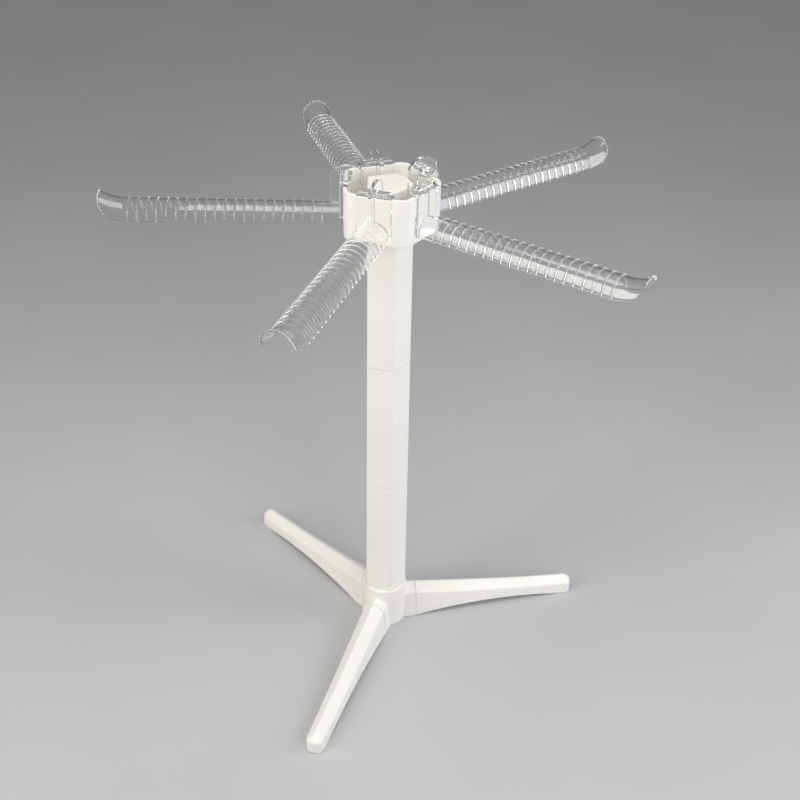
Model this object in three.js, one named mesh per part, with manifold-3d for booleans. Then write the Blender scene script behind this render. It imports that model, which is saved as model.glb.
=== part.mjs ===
// A free-standing drying rack for fresh pasta: three push-fit legs, a pentagonal column in three
// segments, and a hub that carries five clear ribbed arms, each hooked over the hub's wall.
// Millimetres, +Z up. The origin is on the column's axis, at the surface that the rack stands on.
import * as THREE from "three";
import { mergeVertices } from "three/addons/utils/BufferGeometryUtils.js";
import Module from "manifold-3d";

const wasm = await Module();
wasm.setup();

// Clearances
const seatGap = 0.3; // between two faces that rest on each other
const slideClearance = 0.25; // round a push-fit spigot or tenon, on each side
const finGap = 1.9; // between an arm's fin and the hub's boss

// Column
const columnApothem = 16.4;
const columnCornerRadius = 3;
const columnWall = 2;
const innerCornerRadius = 1; // of the bores and spigots
const segmentHeight = 120.7;
const shoulderThickness = 3;
const spigotLength = 18;
const spigotWall = 2;
const segmentNames = ["column_lower", "column_middle", "column_upper"];

// Base hub
const columnSeatHeight = 36.7;
const recessDepth = 4.5;
const rimWall = 0.9; // at the column's corners
const rimRounding = 0.8;
const baseFloor = 3;
const stubLength = 8;
const stubLip = 0.4; // how far a stub stands proud of the leg beside it
const mortiseBackWall = 2.4;

// Legs: a gabled section that tapers from the root to the tip
const legReach = 185;
const rootRidgeHeight = 33.6;
const rootEaveHeight = 26.2;
const rootEaveHalfWidth = 9.6;
const rootFootHalfWidth = 12.2;
const tipRidgeHeight = 18;
const tipEaveHeight = 11.5;
const tipEaveHalfWidth = 7.5;
const tipFootHalfWidth = 7.6;
const tipRounding = 6.5;
const hipLength = 9; // over which the ridge comes down at the tip
const hipCrown = 0.5; // of the ridge's end above the eaves
const taperPower = 1.4; // above 1 makes the top line sag
const footLength = 13;
const archRise = 5.6;
const tenonWidth = 12;
const tenonHeight = 12;
const tenonBottom = 7;
const legNames = ["leg_front", "leg_right", "leg_left"];

// Arm hub
const cupApothem = 34.4;
const cupCornerRadius = 11;
const cupWall = 2.8;
const cupHeight = 39;
const cupFloor = 3;
const bossDrop = 1.3; // from the cup's rim down to the boss's top
const bossCeiling = 2;

// Arms
const armRise = 6.8; // of an arm's lower edge above the hub's underside
const armReach = 224;
const troughHalfWidth = 13.2;
const troughHeight = 14.3;
const troughWall = 2;
const ribPitch = 7.5;
const ribStart = 50.9;
const ribHeight = 0.8;
const ribThickness = 1.2;
const flareLength = 22; // over which the trough turns up at its tip
const flareRise = 6.6;
const noseLength = 10; // of the round end
const plateThickness = 3;
const plateHalfWidth = 14;
const plateRounding = 4;
const saddleThickness = 3.7;
const hookDepth = 19; // of the inner plate below the cup's rim
const finThickness = 3;
const finReach = 7.3; // beyond the outer plate
const finShoulder = 5.7; // height of the fin's two ends above the cup's rim
const finArchRise = 6.7;
const armNames = ["arm_front", "arm_right", "arm_back_right", "arm_back_left", "arm_left"];

// Facets of round shapes
const smallArcSteps = 1;
const largeArcSteps = 3;
const troughArcSteps = 6;
const legSteps = 9;
const tipSteps = 4;
const flareSteps = 5;
const noseSteps = 6;
const rimSteps = 30;

// Through-cuts run past the faces that they open, and joined pieces reach into each other, by this
const overlap = 1;
const mergeDistance = 1e-4;

// Values worked out from the driving dimensions
const frontAngle = -Math.PI / 2;
const armTurn = (2 * Math.PI) / armNames.length;
const legTurn = (2 * Math.PI) / legNames.length;
const boreApothem = columnApothem - columnWall;
const spigotApothem = boreApothem - slideClearance;
const spigotBoreApothem = spigotApothem - spigotWall;
const segmentPitch = segmentHeight + seatGap;
const columnBottom = columnSeatHeight + seatGap;
const armHubBottom = columnBottom + segmentNames.length * segmentPitch;
const rimHeight = columnSeatHeight + recessDepth;
const hubRadius = cornerReach(columnApothem, columnCornerRadius) + slideClearance + rimWall;
const stubReach = hubRadius + stubLength;
const mortiseFloor = cornerReach(spigotBoreApothem, innerCornerRadius) + mortiseBackWall;
const legRoot = stubReach + seatGap;
const footStart = legReach - footLength;
const bossTop = cupHeight - bossDrop;
const hookOuterFace = cupApothem - cupWall - seatGap;
const plateInnerFace = cupApothem + seatGap;
const plateOuterFace = plateInnerFace + plateThickness;
const saddleUnderside = cupHeight + seatGap;
const saddleTop = saddleUnderside + saddleThickness;
const hookBottom = cupHeight - hookDepth;
const flareStart = armReach - flareLength;
const ribCount = Math.floor((flareStart - ribThickness / 2 - ribStart) / ribPitch) + 1;

// Distance from the axis to the outermost point of a rounded pentagon's corner
function cornerReach(apothem, cornerRadius) {
  return (apothem - cornerRadius) / Math.cos(Math.PI / armNames.length) + cornerRadius;
}

// Outlines

// A pentagon with round corners and one flat side facing each arm
function pentagon(apothem, cornerRadius) {
  const shape = new THREE.Shape();
  const centreDistance = (apothem - cornerRadius) / Math.cos(armTurn / 2);
  for (let side = 0; side < armNames.length; side++) {
    const faceAngle = frontAngle + side * armTurn;
    const cornerAngle = faceAngle + armTurn / 2;
    const x = centreDistance * Math.cos(cornerAngle);
    const y = centreDistance * Math.sin(cornerAngle);
    shape.absarc(x, y, cornerRadius, faceAngle, faceAngle + armTurn, false);
  }
  shape.closePath();
  return shape;
}

// An arch: straight sides below a half circle, with its feet at zero height
function arch(halfWidth, crest) {
  const springing = crest - halfWidth;
  const points = [new THREE.Vector2(halfWidth, 0)];
  for (let step = 0; step <= troughArcSteps; step++) {
    const angle = (Math.PI * step) / troughArcSteps;
    points.push(
      new THREE.Vector2(halfWidth * Math.cos(angle), springing + halfWidth * Math.sin(angle)),
    );
  }
  points.push(new THREE.Vector2(-halfWidth, 0));
  return points;
}

// The outline of a wall that follows an arch, from the outer arch in to the inner one
function archBand(outerHalfWidth, outerCrest, thickness) {
  const outer = arch(outerHalfWidth, outerCrest);
  const inner = arch(outerHalfWidth - thickness, outerCrest - thickness);
  return [...outer, ...inner.reverse()];
}

// Solids

function solidOf(geometry) {
  geometry.deleteAttribute("normal");
  geometry.deleteAttribute("uv");
  const merged = mergeVertices(geometry, mergeDistance);
  const vertProperties = merged.attributes.position.array;
  const triVerts = new Uint32Array(merged.index.array);
  return new wasm.Manifold(new wasm.Mesh({ numProp: 3, vertProperties, triVerts }));
}

function geometryOf(solid) {
  const mesh = solid.getMesh();
  const geometry = new THREE.BufferGeometry();
  geometry.setAttribute("position", new THREE.BufferAttribute(mesh.vertProperties, 3));
  geometry.setIndex(new THREE.BufferAttribute(mesh.triVerts, 1));
  geometry.computeVertexNormals();
  return geometry;
}

// A shape drawn in plan, standing between two heights
function upright(shape, bottom, top, curveSegments) {
  const options = { depth: top - bottom, bevelEnabled: false, curveSegments };
  return solidOf(new THREE.ExtrudeGeometry(shape, options).translate(0, 0, bottom));
}

// A shape drawn across an arm or leg, as width and height, running between two radii
function outward(shape, near, far, curveSegments) {
  const options = { depth: far - near, bevelEnabled: false, curveSegments };
  const turn = new THREE.Matrix4().makeBasis(
    new THREE.Vector3(0, 1, 0),
    new THREE.Vector3(0, 0, 1),
    new THREE.Vector3(1, 0, 0),
  );
  const geometry = new THREE.ExtrudeGeometry(shape, options).applyMatrix4(turn);
  return solidOf(geometry.translate(near, 0, 0));
}

// A shape drawn from the side, as radius and height, as thick as given about the middle plane
function sideways(shape, thickness, curveSegments) {
  const options = { depth: thickness, bevelEnabled: false, curveSegments };
  const geometry = new THREE.ExtrudeGeometry(shape, options).rotateX(Math.PI / 2);
  return solidOf(geometry.translate(0, thickness / 2, 0));
}

// A block between two radii and two heights, centred across its width
function block(near, far, width, bottom, top) {
  const geometry = new THREE.BoxGeometry(far - near, width, top - bottom);
  return solidOf(geometry.translate((near + far) / 2, 0, (bottom + top) / 2));
}

// A solid through sections of equal point count, each { radius, points } with points as width and height
function loft(sections) {
  const count = sections[0].points.length;
  const positions = sections.flatMap(({ radius, points }) =>
    points.flatMap((point) => [radius, point.x, point.y]),
  );
  const index = [];
  for (let row = 0; row + 1 < sections.length; row++) {
    for (let column = 0; column < count; column++) {
      const next = (column + 1) % count;
      const here = row * count;
      const there = here + count;
      index.push(here + column, here + next, there + next);
      index.push(here + column, there + next, there + column);
    }
  }
  const last = (sections.length - 1) * count;
  for (const [a, b, c] of THREE.ShapeUtils.triangulateShape(sections[0].points, [])) {
    index.push(c, b, a);
  }
  for (const [a, b, c] of THREE.ShapeUtils.triangulateShape(sections.at(-1).points, [])) {
    index.push(last + a, last + b, last + c);
  }
  const geometry = new THREE.BufferGeometry();
  geometry.setAttribute("position", new THREE.Float32BufferAttribute(positions, 3));
  geometry.setIndex(index);
  return solidOf(geometry);
}

// Base hub

// The gabled section of a leg's root, grown by a margin on its top and sides
function rootSection(margin) {
  return [
    new THREE.Vector2(-rootFootHalfWidth - margin, 0),
    new THREE.Vector2(rootFootHalfWidth + margin, 0),
    new THREE.Vector2(rootEaveHalfWidth + margin, rootEaveHeight + margin),
    new THREE.Vector2(0, rootRidgeHeight + margin),
    new THREE.Vector2(-rootEaveHalfWidth - margin, rootEaveHeight + margin),
  ];
}

function hubBarrel() {
  const rim = new THREE.Path();
  rim.moveTo(0, 0);
  rim.lineTo(hubRadius, 0);
  rim.absarc(hubRadius - rimRounding, rimHeight - rimRounding, rimRounding, 0, Math.PI / 2, false);
  rim.lineTo(0, rimHeight);
  return solidOf(new THREE.LatheGeometry(rim.getPoints(largeArcSteps), rimSteps).rotateX(Math.PI / 2));
}

// The socket for a leg's tenon, turned to that leg
function mortise(angle) {
  const socket = block(
    mortiseFloor,
    stubReach + overlap,
    tenonWidth + 2 * slideClearance,
    tenonBottom - slideClearance,
    tenonBottom + tenonHeight + slideClearance,
  );
  return socket.rotate([0, 0, THREE.MathUtils.radToDeg(angle)]);
}

function baseHub() {
  const postTop = columnSeatHeight + spigotLength;
  let hub = hubBarrel();
  for (let leg = 0; leg < legNames.length; leg++) {
    const angle = frontAngle + leg * legTurn;
    const stub = outward(new THREE.Shape(rootSection(stubLip)), 0, stubReach);
    hub = hub.add(stub.rotate([0, 0, THREE.MathUtils.radToDeg(angle)]));
  }
  const recess = pentagon(columnApothem + slideClearance, columnCornerRadius + slideClearance);
  hub = hub.subtract(upright(recess, columnSeatHeight, rimHeight + overlap, smallArcSteps));
  const post = pentagon(spigotApothem, innerCornerRadius);
  hub = hub.add(upright(post, columnSeatHeight - overlap, postTop, smallArcSteps));
  const bore = pentagon(spigotBoreApothem, innerCornerRadius);
  hub = hub.subtract(upright(bore, baseFloor, postTop + overlap, smallArcSteps));
  for (let leg = 0; leg < legNames.length; leg++) {
    hub = hub.subtract(mortise(frontAngle + leg * legTurn));
  }
  return hub;
}

// Legs

function legSection(radius) {
  const along = (legReach - radius) / (legReach - legRoot);
  const rise = Math.pow(along, taperPower);
  const eave = THREE.MathUtils.lerp(tipEaveHeight, rootEaveHeight, rise);
  const fullRidge = THREE.MathUtils.lerp(tipRidgeHeight, rootRidgeHeight, rise);
  const hip = Math.max(0, radius - (legReach - hipLength)) / hipLength;
  const ridge = THREE.MathUtils.lerp(fullRidge, eave + hipCrown, hip ** 2);
  const pastCorner = Math.max(0, radius - (legReach - tipRounding));
  const inset = tipRounding - Math.sqrt(Math.max(0, tipRounding ** 2 - pastCorner ** 2));
  const eaveHalfWidth = THREE.MathUtils.lerp(tipEaveHalfWidth, rootEaveHalfWidth, along) - inset;
  const footHalfWidth = THREE.MathUtils.lerp(tipFootHalfWidth, rootFootHalfWidth, along) - inset;
  const span = Math.min(1, (radius - legRoot) / (footStart - legRoot));
  const underside = archRise * 4 * span * (1 - span);
  return {
    radius,
    points: [
      new THREE.Vector2(-footHalfWidth, underside),
      new THREE.Vector2(footHalfWidth, underside),
      new THREE.Vector2(eaveHalfWidth, eave),
      new THREE.Vector2(0, ridge),
      new THREE.Vector2(-eaveHalfWidth, eave),
    ],
  };
}

function leg() {
  const radii = [];
  for (let step = 0; step <= legSteps; step++) {
    radii.push(THREE.MathUtils.lerp(legRoot, footStart, step / legSteps));
  }
  for (let step = 0; step <= tipSteps; step++) {
    const angle = ((Math.PI / 2) * step) / tipSteps;
    radii.push(legReach - tipRounding + tipRounding * Math.sin(angle));
  }
  const tenonTop = tenonBottom + tenonHeight;
  const tenon = block(mortiseFloor + seatGap, legRoot + overlap, tenonWidth, tenonBottom, tenonTop);
  return loft(radii.map(legSection)).add(tenon);
}

// Column

function columnSegment() {
  const spigotTop = segmentHeight + spigotLength;
  const shoulder = segmentHeight - shoulderThickness;
  const body = pentagon(columnApothem, columnCornerRadius);
  const bore = pentagon(boreApothem, innerCornerRadius);
  const spigot = pentagon(spigotApothem, innerCornerRadius);
  const spigotBore = pentagon(spigotBoreApothem, innerCornerRadius);
  return upright(body, 0, segmentHeight, largeArcSteps)
    .add(upright(spigot, segmentHeight - overlap, spigotTop, smallArcSteps))
    .subtract(upright(bore, -overlap, shoulder, smallArcSteps))
    .subtract(upright(spigotBore, shoulder - overlap, spigotTop + overlap, smallArcSteps));
}

// Arm hub, with its underside at zero height

function armHub() {
  const outside = pentagon(cupApothem, cupCornerRadius);
  const inside = pentagon(cupApothem - cupWall, cupCornerRadius - cupWall);
  const boss = pentagon(columnApothem, columnCornerRadius);
  const socket = pentagon(boreApothem, innerCornerRadius);
  return upright(outside, 0, cupHeight, largeArcSteps)
    .subtract(upright(inside, cupFloor, cupHeight + overlap, largeArcSteps))
    .add(upright(boss, cupFloor - overlap, bossTop, largeArcSteps))
    .subtract(upright(socket, -overlap, bossTop - bossCeiling, smallArcSteps));
}

// Arms, pointing along +X, with zero height at the hub's underside

// How far the trough has turned up at a radius
function flareLift(radius) {
  const share = Math.max(0, radius - flareStart) / flareLength;
  return flareRise * share ** 2;
}

// The trough follows an arch and turns up towards its tip
function trough() {
  const outline = archBand(troughHalfWidth, troughHeight, troughWall);
  const radii = [plateOuterFace - overlap];
  for (let step = 0; step <= flareSteps; step++) {
    radii.push(flareStart + (flareLength * step) / flareSteps);
  }
  const sections = radii.map((radius) => {
    const points = outline.map((point) => new THREE.Vector2(point.x, point.y + flareLift(radius)));
    return { radius, points };
  });
  return loft(sections);
}

// What the trough's round end leaves away, seen from the side: all below a quarter ellipse that runs
// from the wall's foot up past the crest, and that turns up with the trough
function noseCut() {
  const noseStart = armReach - noseLength;
  const noseHeight = troughHeight + overlap;
  const shape = new THREE.Shape();
  shape.moveTo(noseStart, -overlap);
  for (let step = 0; step <= noseSteps; step++) {
    const angle = ((Math.PI / 2) * step) / noseSteps;
    const radius = noseStart + noseLength * Math.sin(angle);
    shape.lineTo(radius, noseHeight * (1 - Math.cos(angle)) + flareLift(radius));
  }
  shape.lineTo(armReach + overlap, noseHeight + flareRise);
  shape.lineTo(armReach + overlap, -overlap);
  shape.closePath();
  return sideways(shape, 2 * (troughHalfWidth + overlap));
}

function rib(number) {
  const middle = ribStart + number * ribPitch;
  const band = archBand(
    troughHalfWidth + ribHeight,
    troughHeight + ribHeight,
    ribHeight + troughWall / 2,
  );
  return outward(new THREE.Shape(band), middle - ribThickness / 2, middle + ribThickness / 2);
}

// Two plates astride the cup's wall, joined by the saddle that rests on its rim
function hook() {
  const bottom = armRise;
  const shape = new THREE.Shape();
  shape.moveTo(plateHalfWidth, bottom);
  const corner = plateHalfWidth - plateRounding;
  shape.absarc(corner, saddleTop - plateRounding, plateRounding, 0, Math.PI / 2, false);
  shape.absarc(-corner, saddleTop - plateRounding, plateRounding, Math.PI / 2, Math.PI, false);
  shape.lineTo(-plateHalfWidth, bottom);
  shape.closePath();
  const width = 2 * (plateHalfWidth + overlap);
  const innerFace = hookOuterFace - plateThickness;
  return outward(shape, innerFace, plateOuterFace, largeArcSteps).subtract(
    block(innerFace - overlap, hookOuterFace + overlap, width, bottom - overlap, hookBottom),
  );
}

// The upright web along the arm's middle, with an arched top over the hook
function fin() {
  const near = columnApothem + finGap;
  const far = plateOuterFace + finReach;
  const shoulder = cupHeight + finShoulder;
  const halfChord = (far - near) / 2;
  const archRadius = (halfChord ** 2 + finArchRise ** 2) / (2 * finArchRise);
  const archCentre = shoulder + finArchRise - archRadius;
  const startAngle = Math.atan2(shoulder - archCentre, halfChord);
  const foot = armRise + troughHeight - troughWall / 2;
  const shape = new THREE.Shape();
  shape.moveTo(near, hookBottom);
  shape.lineTo(plateInnerFace, hookBottom);
  shape.lineTo(plateInnerFace, foot);
  shape.lineTo(far, foot);
  shape.absarc(near + halfChord, archCentre, archRadius, startAngle, Math.PI - startAngle, false);
  shape.closePath();
  return sideways(shape, finThickness, largeArcSteps);
}

function arm() {
  let beam = trough().subtract(noseCut());
  for (let number = 0; number < ribCount; number++) {
    beam = beam.add(rib(number));
  }
  const slotWidth = 2 * (plateHalfWidth + overlap);
  const wallSlot = block(hookOuterFace, plateInnerFace, slotWidth, -overlap, saddleUnderside);
  const head = hook().add(fin()).subtract(wallSlot);
  return beam.translate([0, 0, armRise]).add(head);
}

// Materials

function whitePlastic() {
  return new THREE.MeshStandardMaterial({ color: 0xf1ece4, roughness: 0.38, metalness: 0 });
}

function clearPlastic() {
  return new THREE.MeshStandardMaterial({
    color: 0xe9eef0,
    roughness: 0.08,
    metalness: 0,
    transparent: true,
    opacity: 0.35,
  });
}

// Assembly

function piece(name, geometry, material) {
  const mesh = new THREE.Mesh(geometry, material);
  mesh.name = name;
  return mesh;
}

const rack = new THREE.Group();
rack.add(piece("base_hub", geometryOf(baseHub()), whitePlastic()));

const legGeometry = geometryOf(leg());
legNames.forEach((name, number) => {
  const mesh = piece(name, legGeometry, whitePlastic());
  mesh.rotation.z = frontAngle + number * legTurn;
  rack.add(mesh);
});

const segmentGeometry = geometryOf(columnSegment());
segmentNames.forEach((name, number) => {
  const mesh = piece(name, segmentGeometry, whitePlastic());
  mesh.position.z = columnBottom + number * segmentPitch;
  rack.add(mesh);
});

const head = new THREE.Group();
head.position.z = armHubBottom;
head.add(piece("arm_hub", geometryOf(armHub()), whitePlastic()));
const armGeometry = geometryOf(arm());
armNames.forEach((name, number) => {
  const mesh = piece(name, armGeometry, clearPlastic());
  mesh.rotation.z = frontAngle + number * armTurn;
  head.add(mesh);
});
rack.add(head);

export default rack;
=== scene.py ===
"""Looks of the pasta drying rack: its mouldings in detail, plastics, floor, lights and camera."""
import math

import bmesh
import bpy
from mathutils import Matrix, Vector


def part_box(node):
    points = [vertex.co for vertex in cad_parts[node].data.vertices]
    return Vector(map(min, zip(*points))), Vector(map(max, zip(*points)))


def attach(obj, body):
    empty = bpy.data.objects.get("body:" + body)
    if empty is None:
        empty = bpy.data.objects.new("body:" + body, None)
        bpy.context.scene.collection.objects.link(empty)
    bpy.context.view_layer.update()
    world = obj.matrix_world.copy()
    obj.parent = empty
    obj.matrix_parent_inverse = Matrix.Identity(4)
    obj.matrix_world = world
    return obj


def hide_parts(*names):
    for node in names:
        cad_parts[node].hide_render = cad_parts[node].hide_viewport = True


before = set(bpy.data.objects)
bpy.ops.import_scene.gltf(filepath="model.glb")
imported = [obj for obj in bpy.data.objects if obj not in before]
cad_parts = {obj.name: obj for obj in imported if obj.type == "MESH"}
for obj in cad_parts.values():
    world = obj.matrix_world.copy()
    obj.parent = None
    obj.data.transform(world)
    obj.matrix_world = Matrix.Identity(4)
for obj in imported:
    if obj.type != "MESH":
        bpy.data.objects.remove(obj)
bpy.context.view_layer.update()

# Names in the frame
LEG_NAMES = ["leg_front", "leg_right", "leg_left"]
SEGMENT_NAMES = ["column_lower", "column_middle", "column_upper"]
ARM_NAMES = ["arm_front", "arm_right", "arm_back_right", "arm_back_left", "arm_left"]
FRONT = -math.pi / 2
LEG_TURN = 2 * math.pi / len(LEG_NAMES)
ARM_TURN = 2 * math.pi / len(ARM_NAMES)
MM = 0.001

# Clearances
SEAT_GAP = 0.3 * MM
SLIDE_CLEARANCE = 0.25 * MM

# Column
segment_low, segment_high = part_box("column_lower")
COLUMN_APOTHEM = -segment_low.y
COLUMN_CORNER = 3 * MM
COLUMN_WALL = 2 * MM
INNER_CORNER = 1 * MM
SPIGOT_LENGTH = 18 * MM
SPIGOT_WALL = 2 * MM
SHOULDER_THICKNESS = 3 * MM
SEGMENT_HEIGHT = segment_high.z - segment_low.z - SPIGOT_LENGTH
BORE_APOTHEM = COLUMN_APOTHEM - COLUMN_WALL
SPIGOT_APOTHEM = BORE_APOTHEM - SLIDE_CLEARANCE
SPIGOT_BORE_APOTHEM = SPIGOT_APOTHEM - SPIGOT_WALL
SEAM_EDGE = 0.3 * MM
SPIGOT_EDGE = 0.6 * MM

# Base hub
base_low, base_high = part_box("base_hub")
POST_TOP = base_high.z
COLUMN_SEAT = POST_TOP - SPIGOT_LENGTH
RIM_HEIGHT = COLUMN_SEAT + 4.5 * MM
RIM_WALL = 0.9 * MM
RIM_ROUNDING = 0.8 * MM
BASE_FLOOR = 3 * MM
BASE_EDGE = 0.5 * MM
STUB_REACH = -base_low.y
STUB_LIP = 0.4 * MM
RECESS_APOTHEM = COLUMN_APOTHEM + SLIDE_CLEARANCE
RECESS_CORNER = COLUMN_CORNER + SLIDE_CLEARANCE
HUB_RADIUS = (RECESS_APOTHEM - RECESS_CORNER) / math.cos(ARM_TURN / 2) + RECESS_CORNER + RIM_WALL

# Legs: a gabled section that tapers from the root to the tip
leg_low, leg_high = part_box("leg_front")
LEG_REACH = -leg_low.y
LEG_ROOT = STUB_REACH + SEAT_GAP
ROOT_RIDGE = leg_high.z
ROOT_EAVE = 26.2 * MM
ROOT_EAVE_HALF = 9.6 * MM
ROOT_FOOT_HALF = leg_high.x
TIP_RIDGE = 18 * MM
TIP_EAVE = 11.5 * MM
TIP_EAVE_HALF = 7.5 * MM
TIP_FOOT_HALF = 7.6 * MM
TIP_ROUNDING = 6.5 * MM
TIP_EDGE = 1.6 * MM
HIP_LENGTH = 9 * MM  # over which the ridge comes down at the tip
HIP_CROWN = 0.5 * MM
TAPER_POWER = 1.4
FOOT_LENGTH = 13 * MM
ARCH_RISE = 5.6 * MM
TENON_START = -leg_high.y
TENON_HALF = 6 * MM
TENON_BOTTOM = 7 * MM
TENON_TOP = 19 * MM
FOOT_CREASE = 1 * MM
ROOT_EAVE_CREASE = 2.2 * MM
TIP_EAVE_CREASE = 4.5 * MM
RIDGE_CREASE = 3 * MM
CREASE_ROOM = 5 * MM  # half width below which the creases shrink with the section

# Arm hub, with heights above its underside
hub_low, hub_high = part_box("arm_hub")
HUB_BOTTOM = hub_low.z
CUP_APOTHEM = -hub_low.y
CUP_CORNER = 11 * MM
CUP_WALL = 2.8 * MM
CUP_HEIGHT = hub_high.z - hub_low.z
CUP_FLOOR = 3 * MM
CUP_RIM = 0.7 * MM
CUP_FOOT = 1.6 * MM
BOSS_TOP = CUP_HEIGHT - 1.3 * MM
BOSS_EDGE = 0.8 * MM
BOSS_CEILING = 2 * MM
CHANNEL_FILLET = 1.5 * MM

# Arms, drawn along +X with heights above the hub's underside
arm_low, arm_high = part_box("arm_front")
ARM_FOOT = arm_low.z - HUB_BOTTOM
ARM_REACH = -arm_low.y
TROUGH_HALF = 13.2 * MM
TROUGH_HEIGHT = 14.3 * MM
TROUGH_WALL = 2 * MM
FOOT_CENTRE = 1.05 * MM  # of the round lower edges, which clear the plate's underside
RIB_COUNT = 21
RIB_PITCH = 7.5 * MM
RIB_START = 50.9 * MM
RIB_HEIGHT = 0.8 * MM
RIB_THICKNESS = 1.2 * MM
FLARE_LENGTH = 22 * MM  # over which the trough turns up at its tip
FLARE_RISE = 6.6 * MM
FLARE_START = ARM_REACH - FLARE_LENGTH
NOSE_LENGTH = 10 * MM  # of the round end
PLATE_THICKNESS = 3 * MM
PLATE_HALF = arm_high.x
PLATE_ROUNDING = 4 * MM
SADDLE_THICKNESS = 3.7 * MM
HOOK_DEPTH = 19 * MM
HOOK_EDGE = 0.4 * MM
FIN_NEAR = -arm_high.y
FIN_REACH = 7.3 * MM
FIN_SHOULDER = CUP_HEIGHT + 5.7 * MM
FIN_TOP = arm_high.z - HUB_BOTTOM
FIN_HALF = 1.5 * MM
FIN_EDGE = 0.5 * MM
HOOK_OUTER = CUP_APOTHEM - CUP_WALL - SEAT_GAP
HOOK_INNER = HOOK_OUTER - PLATE_THICKNESS
PLATE_INNER = CUP_APOTHEM + SEAT_GAP
PLATE_OUTER = PLATE_INNER + PLATE_THICKNESS
SADDLE_UNDERSIDE = CUP_HEIGHT + SEAT_GAP
SADDLE_TOP = SADDLE_UNDERSIDE + SADDLE_THICKNESS
HOOK_BOTTOM = CUP_HEIGHT - HOOK_DEPTH

# Mesh detail
CORNER_STEPS = 10
EDGE_STEPS = 4
LEG_STEPS = 40
TIP_STEPS = 6
ARCH_STEPS = 14
RIB_STEPS = 6
NOSE_STEPS = 14
FIN_STEPS = 20
BEVEL_STEPS = 3
SHARP_ANGLE = math.radians(40)
MERGE_DISTANCE = 1e-7
OVERLAP = 1 * MM  # how far joined solids reach into each other


def lerp(start, end, share):
    return start + (end - start) * share


# Outlines and solids

def fillet(corners, closed):
    """Points along a line of (x, y, radius) corners, each with the number of its corner."""
    points = []
    count = len(corners)
    for number, (x, y, radius) in enumerate(corners):
        is_end = not closed and number in (0, count - 1)
        if is_end or radius == 0:
            points.append((x, y, number))
            continue
        corner = Vector((x, y))
        back = (Vector(corners[number - 1][:2]) - corner).normalized()
        ahead = (Vector(corners[(number + 1) % count][:2]) - corner).normalized()
        half_angle = back.angle(ahead) / 2
        centre = corner + (back + ahead).normalized() * (radius / math.sin(half_angle))
        start = corner + back * (radius / math.tan(half_angle)) - centre
        side = math.copysign(1, start.cross(corner - centre))
        for step in range(EDGE_STEPS + 1):
            turn = side * (math.pi - 2 * half_angle) * step / EDGE_STEPS
            point = centre + Matrix.Rotation(turn, 2) @ start
            points.append((point.x, point.y, number))
    return points


def edge_rows(end, direction, radius):
    """(position, inset) pairs that round off the end of a loft over a quarter circle."""
    rows = []
    for step in range(EDGE_STEPS + 1):
        angle = math.pi / 2 * step / EDGE_STEPS
        position = end - direction * radius * (1 - math.sin(angle))
        rows.append((position, radius * (1 - math.cos(angle))))
    return rows


def skin(rows, closed=False, last_cap=True):
    """A mesh through rows of equal point counts. Unless it closes on itself, its ends get flat caps."""
    shape = bmesh.new()
    rings = [[shape.verts.new(point) for point in row] for row in rows]
    followers = rings[1:] + rings[:1] if closed else rings[1:]
    for ring_here, ring_next in zip(rings, followers):
        count = len(ring_here)
        for here in range(count):
            there = (here + 1) % count
            shape.faces.new((ring_here[here], ring_here[there], ring_next[there], ring_next[here]))
    if not closed:
        shape.faces.new(list(reversed(rings[0])))
    if last_cap and not closed:
        shape.faces.new(rings[-1])
    bmesh.ops.remove_doubles(shape, verts=shape.verts, dist=MERGE_DISTANCE)
    bmesh.ops.recalc_face_normals(shape, faces=shape.faces)
    return shape


def pentagon(apothem, corner_radius, height):
    """A ring with a flat facing each arm. It is a circle if the corner radius equals the apothem."""
    centre_distance = (apothem - corner_radius) / math.cos(ARM_TURN / 2)
    points = []
    for side in range(len(ARM_NAMES)):
        face_angle = FRONT + side * ARM_TURN
        middle_angle = face_angle + ARM_TURN / 2
        for step in range(CORNER_STEPS + 1):
            angle = face_angle + ARM_TURN * step / CORNER_STEPS
            x = centre_distance * math.cos(middle_angle) + corner_radius * math.cos(angle)
            y = centre_distance * math.sin(middle_angle) + corner_radius * math.sin(angle)
            points.append((x, y, height))
    return points


def pentagonal(profile, closed=False):
    """A mesh swept round the axis. A profile corner is (apothem, height, rounding, plan corner radius)."""
    rows = []
    for apothem, height, number in fillet([corner[:3] for corner in profile], closed):
        plan_radius = profile[number][3] + apothem - profile[number][0]
        rows.append(pentagon(apothem, plan_radius, height))
    return skin(rows, closed)


def along_x(outline, near, far):
    """A prism whose outline is given as (y, z)."""
    return skin([[(x, y, z) for y, z in outline] for x in (near, far)])


def along_y(outline, half_width):
    """A prism whose outline is given as (x, z), centred on the plane y = 0."""
    return skin([[(x, y, z) for x, z in outline] for y in (-half_width, half_width)])


def rectangle(low, high, bottom, top):
    return [(low, bottom), (high, bottom), (high, top), (low, top)]


def make_object(name, shape):
    mesh = bpy.data.meshes.new(name)
    shape.to_mesh(mesh)
    shape.free()
    thing = bpy.data.objects.new(name, mesh)
    bpy.context.scene.collection.objects.link(thing)
    return thing


def combine(thing, shape, operation):
    """Joins a bmesh to an object, or cuts it from it, and drops the bmesh."""
    tool = make_object("tool", shape)
    modifier = thing.modifiers.new("combine", "BOOLEAN")
    modifier.operation = operation
    modifier.object = tool
    modifier.solver = "EXACT"
    graph = bpy.context.evaluated_depsgraph_get()
    result = bpy.data.meshes.new_from_object(thing.evaluated_get(graph))
    thing.modifiers.clear()
    thing.data = result
    bpy.data.objects.remove(tool)


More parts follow.
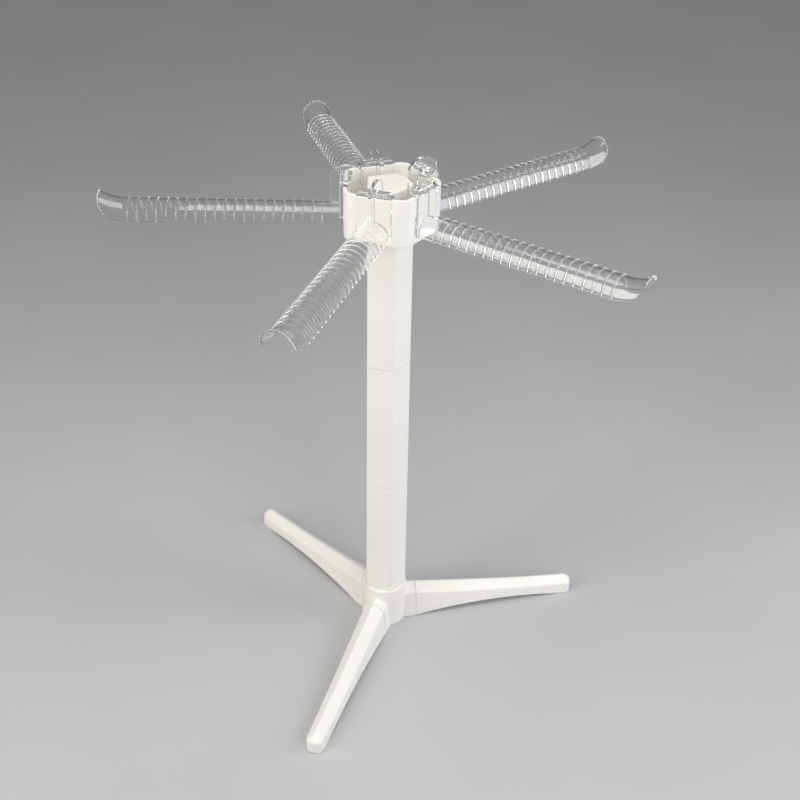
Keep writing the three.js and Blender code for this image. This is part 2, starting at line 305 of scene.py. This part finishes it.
def soften(shape, width):
    """Rounds every edge that is sharper than the shading's limit, and leaves only flat faces."""
    edges = [edge for edge in shape.edges if edge.calc_face_angle(0) > SHARP_ANGLE]
    bmesh.ops.bevel(shape, geom=edges, offset=width, segments=BEVEL_STEPS, profile=0.5, affect="EDGES")
    bmesh.ops.triangulate(shape, faces=shape.faces)
    return shape


def soften_object(thing, width):
    shape = bmesh.new()
    shape.from_mesh(thing.data)
    soften(shape, width).to_mesh(thing.data)
    shape.free()


def settle(thing, node, material):
    """Shades a piece smooth and lets it stand for the CAD node that it shows."""
    thing.data.shade_smooth()
    thing.data.set_sharp_from_angle(angle=SHARP_ANGLE)
    weighting = thing.modifiers.new("flat faces", "WEIGHTED_NORMAL")
    weighting.keep_sharp = True
    thing.data.materials.clear()
    thing.data.materials.append(material)
    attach(thing, node)
    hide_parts(node)


def settle_copies(first, names, suffix, turn, material):
    """Places one moulding at every node in the list, each turned on from the last."""
    shape = first.data
    for number, node in enumerate(names):
        thing = bpy.data.objects.new(node + suffix, shape.copy())
        bpy.context.scene.collection.objects.link(thing)
        thing.data.transform(Matrix.Rotation(FRONT + number * turn, 4, "Z"))
        settle(thing, node, material)
    bpy.data.objects.remove(first)


# Materials

COLOUR_SPAN = (0.35, 0.65)  # of a noise, over which a colour changes
ROUGHNESS_SPAN = (0.3, 0.7)


def plastic(name):
    """A new material, its shader and a function that adds a noise texture in the piece's own space."""
    material = bpy.data.materials.new(name)
    material.use_nodes = True
    tree = material.node_tree
    shader = tree.nodes["Principled BSDF"]
    place = tree.nodes.new("ShaderNodeTexCoord").outputs["Object"]

    def noise(scale, detail):
        texture = tree.nodes.new("ShaderNodeTexNoise")
        texture.inputs["Scale"].default_value = scale
        texture.inputs["Detail"].default_value = detail
        tree.links.new(place, texture.inputs["Vector"])
        return texture.outputs["Fac"]

    return material, shader, noise


def vary_colour(material, factor, shader, dark, light):
    ramp = material.node_tree.nodes.new("ShaderNodeValToRGB")
    for stop, position, colour in zip(ramp.color_ramp.elements, COLOUR_SPAN, (dark, light)):
        stop.position = position
        stop.color = (*colour, 1)
    material.node_tree.links.new(factor, ramp.inputs["Fac"])
    material.node_tree.links.new(ramp.outputs["Color"], shader.inputs["Base Color"])


def vary_roughness(material, factor, shader, low, high):
    spread = material.node_tree.nodes.new("ShaderNodeMapRange")
    spread.inputs["From Min"].default_value = ROUGHNESS_SPAN[0]
    spread.inputs["From Max"].default_value = ROUGHNESS_SPAN[1]
    spread.inputs["To Min"].default_value = low
    spread.inputs["To Max"].default_value = high
    material.node_tree.links.new(factor, spread.inputs["Value"])
    material.node_tree.links.new(spread.outputs["Result"], shader.inputs["Roughness"])


def add_bump(material, factor, shader, strength, distance):
    bump = material.node_tree.nodes.new("ShaderNodeBump")
    bump.inputs["Strength"].default_value = strength
    bump.inputs["Distance"].default_value = distance
    material.node_tree.links.new(factor, bump.inputs["Height"])
    material.node_tree.links.new(bump.outputs["Normal"], shader.inputs["Normal"])


def white_plastic():
    material, shader, noise = plastic("white_plastic")
    vary_colour(material, noise(14, 3), shader, dark=(0.86, 0.825, 0.775), light=(0.9, 0.865, 0.82))
    vary_roughness(material, noise(120, 4), shader, low=0.3, high=0.42)
    add_bump(material, noise(1500, 3), shader, strength=0.12, distance=0.05 * MM)
    return material


def let_light_through(material, shader):
    """Lamps and scattered light pass the material unbent, so that what stands behind it stays lit."""
    tree = material.node_tree
    rays = tree.nodes.new("ShaderNodeLightPath")
    passing = tree.nodes.new("ShaderNodeBsdfTransparent")
    surface = shader.outputs["BSDF"]
    for kind in ("Is Diffuse Ray", "Is Shadow Ray"):
        choice = tree.nodes.new("ShaderNodeMixShader")
        tree.links.new(rays.outputs[kind], choice.inputs["Fac"])
        tree.links.new(surface, choice.inputs[1])
        tree.links.new(passing.outputs["BSDF"], choice.inputs[2])
        surface = choice.outputs["Shader"]
    tree.links.new(surface, tree.nodes["Material Output"].inputs["Surface"])


def clear_plastic():
    material, shader, noise = plastic("clear_plastic")
    shader.inputs["Transmission Weight"].default_value = 1
    shader.inputs["IOR"].default_value = 1.57
    vary_colour(material, noise(30, 2), shader, dark=(0.98, 0.99, 0.99), light=(1, 1, 1))
    vary_roughness(material, noise(90, 3), shader, low=0.01, high=0.04)
    add_bump(material, noise(120, 2), shader, strength=0.03, distance=0.2 * MM)
    let_light_through(material, shader)
    return material


def floor_paint():
    material, shader, noise = plastic("floor_paint")
    vary_colour(material, noise(3, 3), shader, dark=(0.5, 0.5, 0.505), light=(0.53, 0.53, 0.53))
    vary_roughness(material, noise(40, 4), shader, low=0.5, high=0.65)
    add_bump(material, noise(400, 4), shader, strength=0.1, distance=0.05 * MM)
    return material


white = white_plastic()
clear = clear_plastic()


# Column segments

def column_segment(name, bottom):
    seat = bottom + SEGMENT_HEIGHT
    spigot_top = seat + SPIGOT_LENGTH
    shoulder = seat - SHOULDER_THICKNESS
    profile = [
        (COLUMN_APOTHEM, bottom, SEAM_EDGE, COLUMN_CORNER),
        (COLUMN_APOTHEM, seat, SEAM_EDGE, COLUMN_CORNER),
        (SPIGOT_APOTHEM, seat, 0, INNER_CORNER),
        (SPIGOT_APOTHEM, spigot_top, SPIGOT_EDGE, INNER_CORNER),
        (SPIGOT_BORE_APOTHEM, spigot_top, SEAM_EDGE, INNER_CORNER),
        (SPIGOT_BORE_APOTHEM, shoulder, 0, INNER_CORNER),
        (BORE_APOTHEM, shoulder, 0, INNER_CORNER),
        (BORE_APOTHEM, bottom, SEAM_EDGE, INNER_CORNER),
    ]
    return make_object(name, pentagonal(profile, closed=True))


for segment_name in SEGMENT_NAMES:
    tube = column_segment(segment_name + "_tube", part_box(segment_name)[0].z)
    settle(tube, segment_name, white)


# Legs

def gable(x, ridge, eave, eave_half, foot_half, underside, eave_crease):
    """One row of a leg or stub, with soft creases."""
    room = min(1, eave_half / CREASE_ROOM)
    corners = [
        (-foot_half, underside, FOOT_CREASE * room),
        (foot_half, underside, FOOT_CREASE * room),
        (eave_half, eave, eave_crease * room),
        (0, ridge, RIDGE_CREASE * room),
        (-eave_half, eave, eave_crease * room),
    ]
    return [(x, y, z) for y, z, _ in fillet(corners, closed=True)]


def leg_row(x, inset):
    along = max(0, LEG_REACH - x) / (LEG_REACH - LEG_ROOT)
    rise = along ** TAPER_POWER
    eave = lerp(TIP_EAVE, ROOT_EAVE, rise)
    hip = max(0, x - (LEG_REACH - HIP_LENGTH)) / HIP_LENGTH
    ridge = lerp(lerp(TIP_RIDGE, ROOT_RIDGE, rise), eave + HIP_CROWN, hip ** 2)
    past_corner = max(0, x - (LEG_REACH - TIP_ROUNDING))
    plan_inset = TIP_ROUNDING - math.sqrt(max(0, TIP_ROUNDING ** 2 - past_corner ** 2))
    span = min(1, (x - LEG_ROOT) / (LEG_REACH - FOOT_LENGTH - LEG_ROOT))
    narrowing = min(plan_inset + inset, TIP_EAVE_HALF - FOOT_CREASE / 2)
    return gable(
        x,
        ridge - inset,
        eave - inset,
        lerp(TIP_EAVE_HALF, ROOT_EAVE_HALF, along) - narrowing,
        lerp(TIP_FOOT_HALF, ROOT_FOOT_HALF, along) - narrowing,
        ARCH_RISE * 4 * span * (1 - span) + inset,
        lerp(TIP_EAVE_CREASE, ROOT_EAVE_CREASE, along),
    )


def leg():
    stations = list(reversed(edge_rows(LEG_ROOT, -1, SEAM_EDGE)))
    first = LEG_ROOT + SEAM_EDGE
    last = LEG_REACH - TIP_ROUNDING
    for step in range(1, LEG_STEPS + 1):
        stations.append((lerp(first, last, step / LEG_STEPS), 0))
    widest_angle = math.asin(1 - TIP_EDGE / TIP_ROUNDING)
    for step in range(1, TIP_STEPS):
        angle = widest_angle * step / TIP_STEPS
        stations.append((last + TIP_ROUNDING * math.sin(angle), 0))
    stations += edge_rows(LEG_REACH, 1, TIP_EDGE)
    thing = make_object("leg", skin([leg_row(x, inset) for x, inset in stations]))
    outline = rectangle(-TENON_HALF, TENON_HALF, TENON_BOTTOM, TENON_TOP)
    combine(thing, soften(along_x(outline, TENON_START, LEG_ROOT + OVERLAP), SEAM_EDGE), "UNION")
    return thing


settle_copies(leg(), LEG_NAMES, "_moulding", LEG_TURN, white)


# Base hub

def stub_row(x, inset):
    lip = STUB_LIP - inset
    return gable(
        x,
        ROOT_RIDGE + lip,
        ROOT_EAVE + lip,
        ROOT_EAVE_HALF + lip,
        ROOT_FOOT_HALF + lip,
        inset,
        ROOT_EAVE_CREASE,
    )


def base_hub():
    profile = [
        (HUB_RADIUS / 2, 0, 0, HUB_RADIUS / 2),
        (HUB_RADIUS, 0, BASE_EDGE, HUB_RADIUS),
        (HUB_RADIUS, RIM_HEIGHT, RIM_ROUNDING, HUB_RADIUS),
        (RECESS_APOTHEM, RIM_HEIGHT, 0, RECESS_CORNER),
        (RECESS_APOTHEM, COLUMN_SEAT, 0, RECESS_CORNER),
        (SPIGOT_APOTHEM, COLUMN_SEAT, 0, INNER_CORNER),
        (SPIGOT_APOTHEM, POST_TOP, SPIGOT_EDGE, INNER_CORNER),
        (SPIGOT_BORE_APOTHEM, POST_TOP, SEAM_EDGE, INNER_CORNER),
        (SPIGOT_BORE_APOTHEM, BASE_FLOOR, 0, INNER_CORNER),
    ]
    thing = make_object("base_hub_moulding", pentagonal(profile))
    mortise_half = TENON_HALF + SLIDE_CLEARANCE
    mortise_bottom = TENON_BOTTOM - SLIDE_CLEARANCE
    mortise_top = TENON_TOP + SLIDE_CLEARANCE
    mortise_outline = rectangle(-mortise_half, mortise_half, mortise_bottom, mortise_top)
    stub_start = TENON_START - SEAT_GAP
    for number in range(len(LEG_NAMES)):
        turn = Matrix.Rotation(FRONT + number * LEG_TURN, 4, "Z")
        stations = [(stub_start, 0)] + edge_rows(STUB_REACH, 1, SEAM_EDGE)
        stub = skin([stub_row(x, inset) for x, inset in stations])
        mortise = along_x(mortise_outline, stub_start, STUB_REACH + OVERLAP)
        stub.transform(turn)
        mortise.transform(turn)
        combine(thing, stub, "UNION")
        combine(thing, mortise, "DIFFERENCE")
    return thing


settle(base_hub(), "base_hub", white)


# Arm hub

def arm_hub():
    inner_apothem = CUP_APOTHEM - CUP_WALL
    inner_corner = CUP_CORNER - CUP_WALL
    profile = [
        (BORE_APOTHEM, BOSS_TOP - BOSS_CEILING, 0, INNER_CORNER),
        (BORE_APOTHEM, 0, SEAM_EDGE, INNER_CORNER),
        (CUP_APOTHEM, 0, CUP_FOOT, CUP_CORNER),
        (CUP_APOTHEM, CUP_HEIGHT, CUP_RIM, CUP_CORNER),
        (inner_apothem, CUP_HEIGHT, CUP_RIM, inner_corner),
        (inner_apothem, CUP_FLOOR, CHANNEL_FILLET, inner_corner),
        (COLUMN_APOTHEM, CUP_FLOOR, CHANNEL_FILLET, COLUMN_CORNER),
        (COLUMN_APOTHEM, BOSS_TOP, BOSS_EDGE, COLUMN_CORNER),
        (COLUMN_APOTHEM - COLUMN_CORNER, BOSS_TOP, 0, 0),
    ]
    shape = pentagonal(profile)
    shape.transform(Matrix.Translation((0, 0, HUB_BOTTOM)))
    return make_object("arm_hub_cup", shape)


settle(arm_hub(), "arm_hub", white)


# Arms

def arch_outline(half_wall, growth):
    """The trough's section as (y, z): a wall along an arch, with round feet, grown outwards by a rib."""
    middle = TROUGH_HALF - TROUGH_WALL / 2
    springing = TROUGH_HEIGHT - TROUGH_HALF
    outside = middle + half_wall + growth
    inside = middle - half_wall
    outer = []
    inner = []
    foot = []
    for step in range(ARCH_STEPS + 1):
        angle = math.pi / 2 * step / ARCH_STEPS
        outer.append((outside * math.sin(angle), springing + outside * math.cos(angle)))
        inner.append((inside * math.sin(angle), springing + inside * math.cos(angle)))
    for step in range(2 * EDGE_STEPS + 1):
        angle = math.pi / 2 * step / EDGE_STEPS
        reach = half_wall + growth if step < EDGE_STEPS else half_wall
        foot.append((middle + reach * math.cos(angle), FOOT_CENTRE - half_wall * math.sin(angle)))
    right = outer + foot + list(reversed(inner))
    left = [(-y, z) for y, z in reversed(right[1:-1])]
    return right + left


def nose_end(height):
    """How far out the trough's wall runs at a height above its foot, along a quarter ellipse."""
    drop = 1 - min(1, height / TROUGH_HEIGHT)
    return ARM_REACH - NOSE_LENGTH * (1 - math.sqrt(1 - drop ** 2))


def nose_row(share, back, half_wall):
    """A row between the flare's start and the trough's end, or short of that end by some way back."""
    row = []
    for y, z in arch_outline(half_wall, 0):
        x = lerp(FLARE_START, nose_end(z) - back, share)
        lift = FLARE_RISE * ((x - FLARE_START) / FLARE_LENGTH) ** 2
        row.append((x, y, z + lift + ARM_FOOT))
    return row


def trough():
    half_wall = TROUGH_WALL / 2
    stations = [(PLATE_OUTER - OVERLAP, 0)]
    for number in range(RIB_COUNT):
        middle = RIB_START + number * RIB_PITCH
        for step in range(RIB_STEPS + 1):
            angle = math.pi * (step / RIB_STEPS - 0.5)
            stations.append((middle + RIB_THICKNESS / 2 * math.sin(angle), RIB_HEIGHT * math.cos(angle)))
    rows = []
    for x, growth in stations:
        rows.append([(x, y, z + ARM_FOOT) for y, z in arch_outline(half_wall, growth)])
    for step in range(NOSE_STEPS):
        rows.append(nose_row(step / NOSE_STEPS, half_wall, half_wall))
    for end, inset in edge_rows(0, 1, half_wall):
        rows.append(nose_row(1, -end, half_wall - inset))
    return skin(rows, last_cap=False)


def hook():
    """Both plates and the saddle in one block, before the cup's wall gets its slot."""
    slot_middle = (HOOK_OUTER + PLATE_INNER) / 2
    side_view = [
        (PLATE_OUTER, ARM_FOOT),
        (PLATE_OUTER, SADDLE_TOP),
        (HOOK_INNER, SADDLE_TOP),
        (HOOK_INNER, HOOK_BOTTOM),
        (slot_middle, HOOK_BOTTOM),
        (slot_middle, ARM_FOOT),
    ]
    end_view = [
        (PLATE_HALF, ARM_FOOT - OVERLAP, 0),
        (PLATE_HALF, SADDLE_TOP, PLATE_ROUNDING),
        (-PLATE_HALF, SADDLE_TOP, PLATE_ROUNDING),
        (-PLATE_HALF, ARM_FOOT - OVERLAP, 0),
    ]
    outline = [(y, z) for y, z, _ in fillet(end_view, closed=True)]
    thing = make_object("hook", along_y(side_view, PLATE_HALF + OVERLAP))
    combine(thing, along_x(outline, HOOK_INNER - OVERLAP, PLATE_OUTER + OVERLAP), "INTERSECT")
    soften_object(thing, HOOK_EDGE)
    return thing


def fin():
    """The upright web along the arm's middle, with an arched top and its foot in the trough's crest."""
    far = PLATE_OUTER + FIN_REACH
    half_chord = (far - FIN_NEAR) / 2
    arch_rise = FIN_TOP - FIN_SHOULDER
    radius = (half_chord ** 2 + arch_rise ** 2) / (2 * arch_rise)
    half_angle = math.asin(half_chord / radius)
    step_place = (PLATE_INNER + PLATE_OUTER) / 2
    bottom = HOOK_BOTTOM + FIN_EDGE
    foot = ARM_FOOT + TROUGH_HEIGHT - TROUGH_WALL / 2
    outline = [(FIN_NEAR, bottom), (step_place, bottom), (step_place, foot), (far, foot)]
    for step in range(FIN_STEPS + 1):
        angle = half_angle * (1 - 2 * step / FIN_STEPS)
        x = FIN_NEAR + half_chord + radius * math.sin(angle)
        outline.append((x, FIN_TOP - radius + radius * math.cos(angle)))
    return soften(along_y(outline, FIN_HALF), FIN_EDGE)


def arm():
    thing = hook()
    combine(thing, fin(), "UNION")
    wall_slot = rectangle(HOOK_OUTER, PLATE_INNER, ARM_FOOT - OVERLAP, SADDLE_UNDERSIDE)
    combine(thing, along_y(wall_slot, PLATE_HALF + OVERLAP), "DIFFERENCE")
    combine(thing, trough(), "UNION")
    thing.data.transform(Matrix.Translation((0, 0, HUB_BOTTOM)))
    return thing


settle_copies(arm(), ARM_NAMES, "_moulding", ARM_TURN, clear)


# Floor and world

FLOOR_HALF = 9
FLOOR_DEPTH = 0.05
ROOM_TINT = (0.98, 0.99, 1, 1)
ROOM_LOW = 0.1  # strength at the horizon and below it
ROOM_HIGH = 0.4  # strength overhead
ROOM_FADE = 0.8  # height of a direction, out of 1, from which the room has its full strength

floor_section = rectangle(-FLOOR_HALF, FLOOR_HALF, -FLOOR_DEPTH, 0)
floor = make_object("floor", along_x(floor_section, -FLOOR_HALF, FLOOR_HALF))
floor.data.materials.append(floor_paint())


def studio_room():
    """A dim room that grows lighter towards its ceiling."""
    world = bpy.data.worlds.new("studio")
    world.use_nodes = True
    tree = world.node_tree
    background = tree.nodes["Background"]
    background.inputs["Color"].default_value = ROOM_TINT
    direction = tree.nodes.new("ShaderNodeTexCoord").outputs["Generated"]
    axes = tree.nodes.new("ShaderNodeSeparateXYZ")
    fade = tree.nodes.new("ShaderNodeMapRange")
    fade.inputs["From Max"].default_value = ROOM_FADE
    fade.inputs["To Min"].default_value = ROOM_LOW
    fade.inputs["To Max"].default_value = ROOM_HIGH
    tree.links.new(direction, axes.inputs["Vector"])
    tree.links.new(axes.outputs["Z"], fade.inputs["Value"])
    tree.links.new(fade.outputs["Result"], background.inputs["Strength"])
    return world


bpy.context.scene.world = studio_room()


# Lights

LOOK_AT = Vector((0, 0, 0.35))  # the point that the lamps face
SIDE_BOX = (0.55, 1.2)
FILL_BOX = (0.55, 0.55)


def place_light(lamp, turn, rise, distance):
    """Turns a lamp to the rack from a turn about it and a rise above the level, in degrees."""
    thing = bpy.data.objects.new(lamp.name, lamp)
    turn = math.radians(turn)
    rise = math.radians(rise)
    direction = Vector((math.cos(rise) * math.cos(turn), math.cos(rise) * math.sin(turn), math.sin(rise)))
    thing.location = LOOK_AT + direction * distance
    thing.rotation_euler = (-direction).to_track_quat("-Z", "Y").to_euler()
    bpy.context.scene.collection.objects.link(thing)


def soft_box(name, size, turn, rise, distance, power, colour):
    lamp = bpy.data.lights.new(name, "AREA")
    lamp.shape = "RECTANGLE"
    lamp.size, lamp.size_y = size
    lamp.energy = power
    lamp.color = colour
    place_light(lamp, turn, rise, distance)


soft_box("right", SIDE_BOX, turn=8, rise=15, distance=1.2, power=7.6, colour=(0.955, 0.98, 1))
soft_box("left", SIDE_BOX, turn=-131, rise=20, distance=1.2, power=9.5, colour=(1, 0.965, 0.91))
soft_box("front", FILL_BOX, turn=-45, rise=20, distance=1.2, power=4.4, colour=(0.94, 0.975, 1))
soft_box("above", FILL_BOX, turn=-75, rise=80, distance=0.8, power=2.4, colour=(1, 0.99, 0.98))


# Camera

SENSOR = 36  # width in mm
LENS = 55.79  # focal length in mm
CAMERA_DISTANCE = 0.8884
CAMERA_HEIGHT = 0.8112
CAMERA_TURN = math.radians(18.3)
CAMERA_YAW = math.radians(0.75)
CAMERA_PITCH = math.radians(32.75)
CAMERA_ROLL = math.radians(1.11)

camera = bpy.data.objects.new("camera", bpy.data.cameras.new("camera"))
camera.data.sensor_width = SENSOR
camera.data.lens = LENS
camera_x = CAMERA_DISTANCE * math.sin(CAMERA_TURN)
camera_y = -CAMERA_DISTANCE * math.cos(CAMERA_TURN)
camera.matrix_world = (
    Matrix.Translation((camera_x, camera_y, CAMERA_HEIGHT))
    @ Matrix.Rotation(CAMERA_TURN - CAMERA_YAW, 4, "Z")
    @ Matrix.Rotation(math.pi / 2 - CAMERA_PITCH, 4, "X")
    @ Matrix.Rotation(CAMERA_ROLL, 4, "Z")
)
bpy.context.scene.collection.objects.link(camera)
bpy.context.scene.camera = camera
bpy.context.scene.view_settings.view_transform = "Standard"

# Light crosses many walls of the clear arms
BOUNCES = 24
bpy.context.scene.cycles.max_bounces = BOUNCES
bpy.context.scene.cycles.glossy_bounces = BOUNCES
bpy.context.scene.cycles.transmission_bounces = BOUNCES
